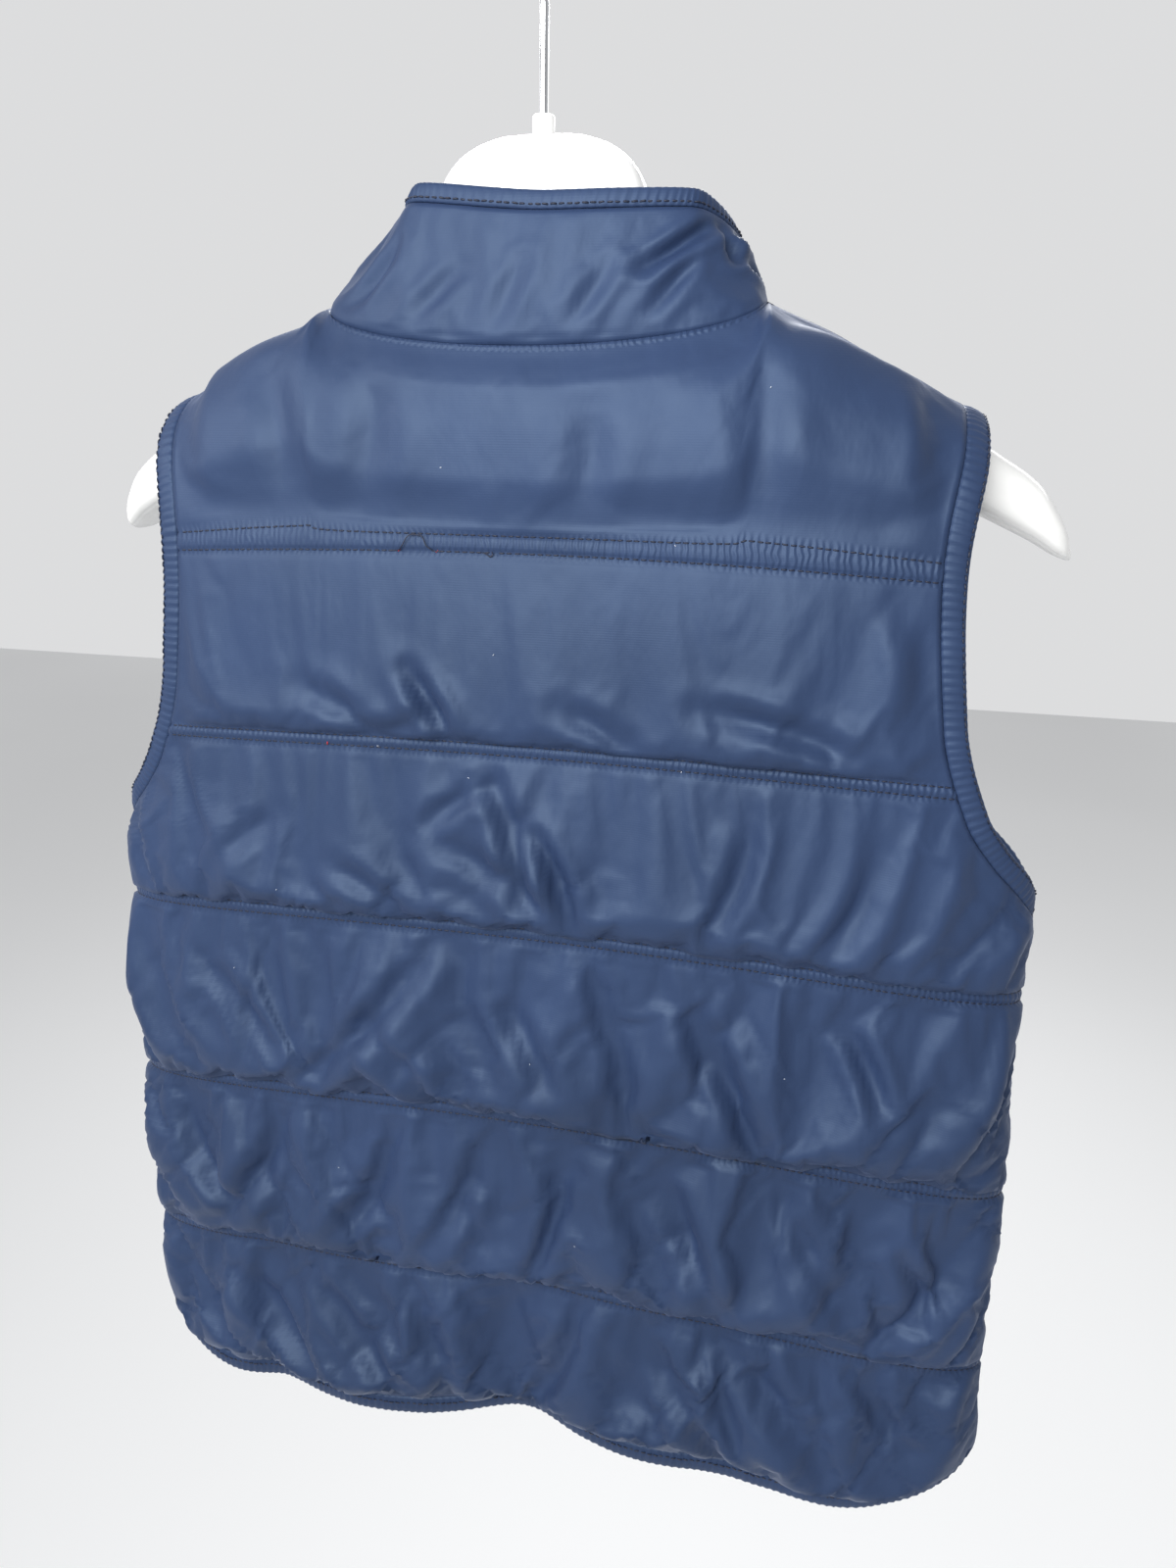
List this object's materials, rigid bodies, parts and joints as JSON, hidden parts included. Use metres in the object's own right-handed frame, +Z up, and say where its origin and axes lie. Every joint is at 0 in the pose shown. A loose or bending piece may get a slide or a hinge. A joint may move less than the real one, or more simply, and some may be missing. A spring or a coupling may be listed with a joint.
{
  "type": "quilted gilet on a clothes hanger",
  "caption": "Padded sleeveless gilet with horizontal quilting, a stand collar and a front zip, hanging on a wide-shouldered hanger.",
  "frame": {"origin": "top of the inside of the hanger's hook, where the rail carries it", "axes": "+Z up, -Y towards the wearer's front, +X towards the wearer's left"},
  "size_m": [0.4376, 0.1394, 0.7261],
  "materials": {
    "shell": "navy woven nylon with a satin sheen, padded",
    "tape": "dark navy woven zip tape",
    "zip_metal": "dark navy enamelled slider and pull tab",
    "hanger_plastic": "white moulded plastic, glossy",
    "wire": "bright plated steel wire"
  },
  "bodies": {
    "garment": {"back": "shell", "front_left": "shell", "front_right": "shell", "collar": "shell", "collar_binding": "shell", "armhole_binding_left": "shell", "armhole_binding_right": "shell", "hem_binding": "shell", "zip_tape_left": "tape", "zip_tape_right": "tape", "zip_slider": "zip_metal", "hanger_body": "hanger_plastic", "hanger_ferrule": "hanger_plastic", "hanger_hook": "wire"},
    "pull": {"zip_pull": "zip_metal"}
  },
  "joints": [
    {"name": "pull_swing", "type": "hinge", "parent": "garment", "child": "pull", "pos_m": [0, -0.05041, -0.2283], "axis": [-1, 0, 0], "range_deg": [0, 150]}
  ]
}
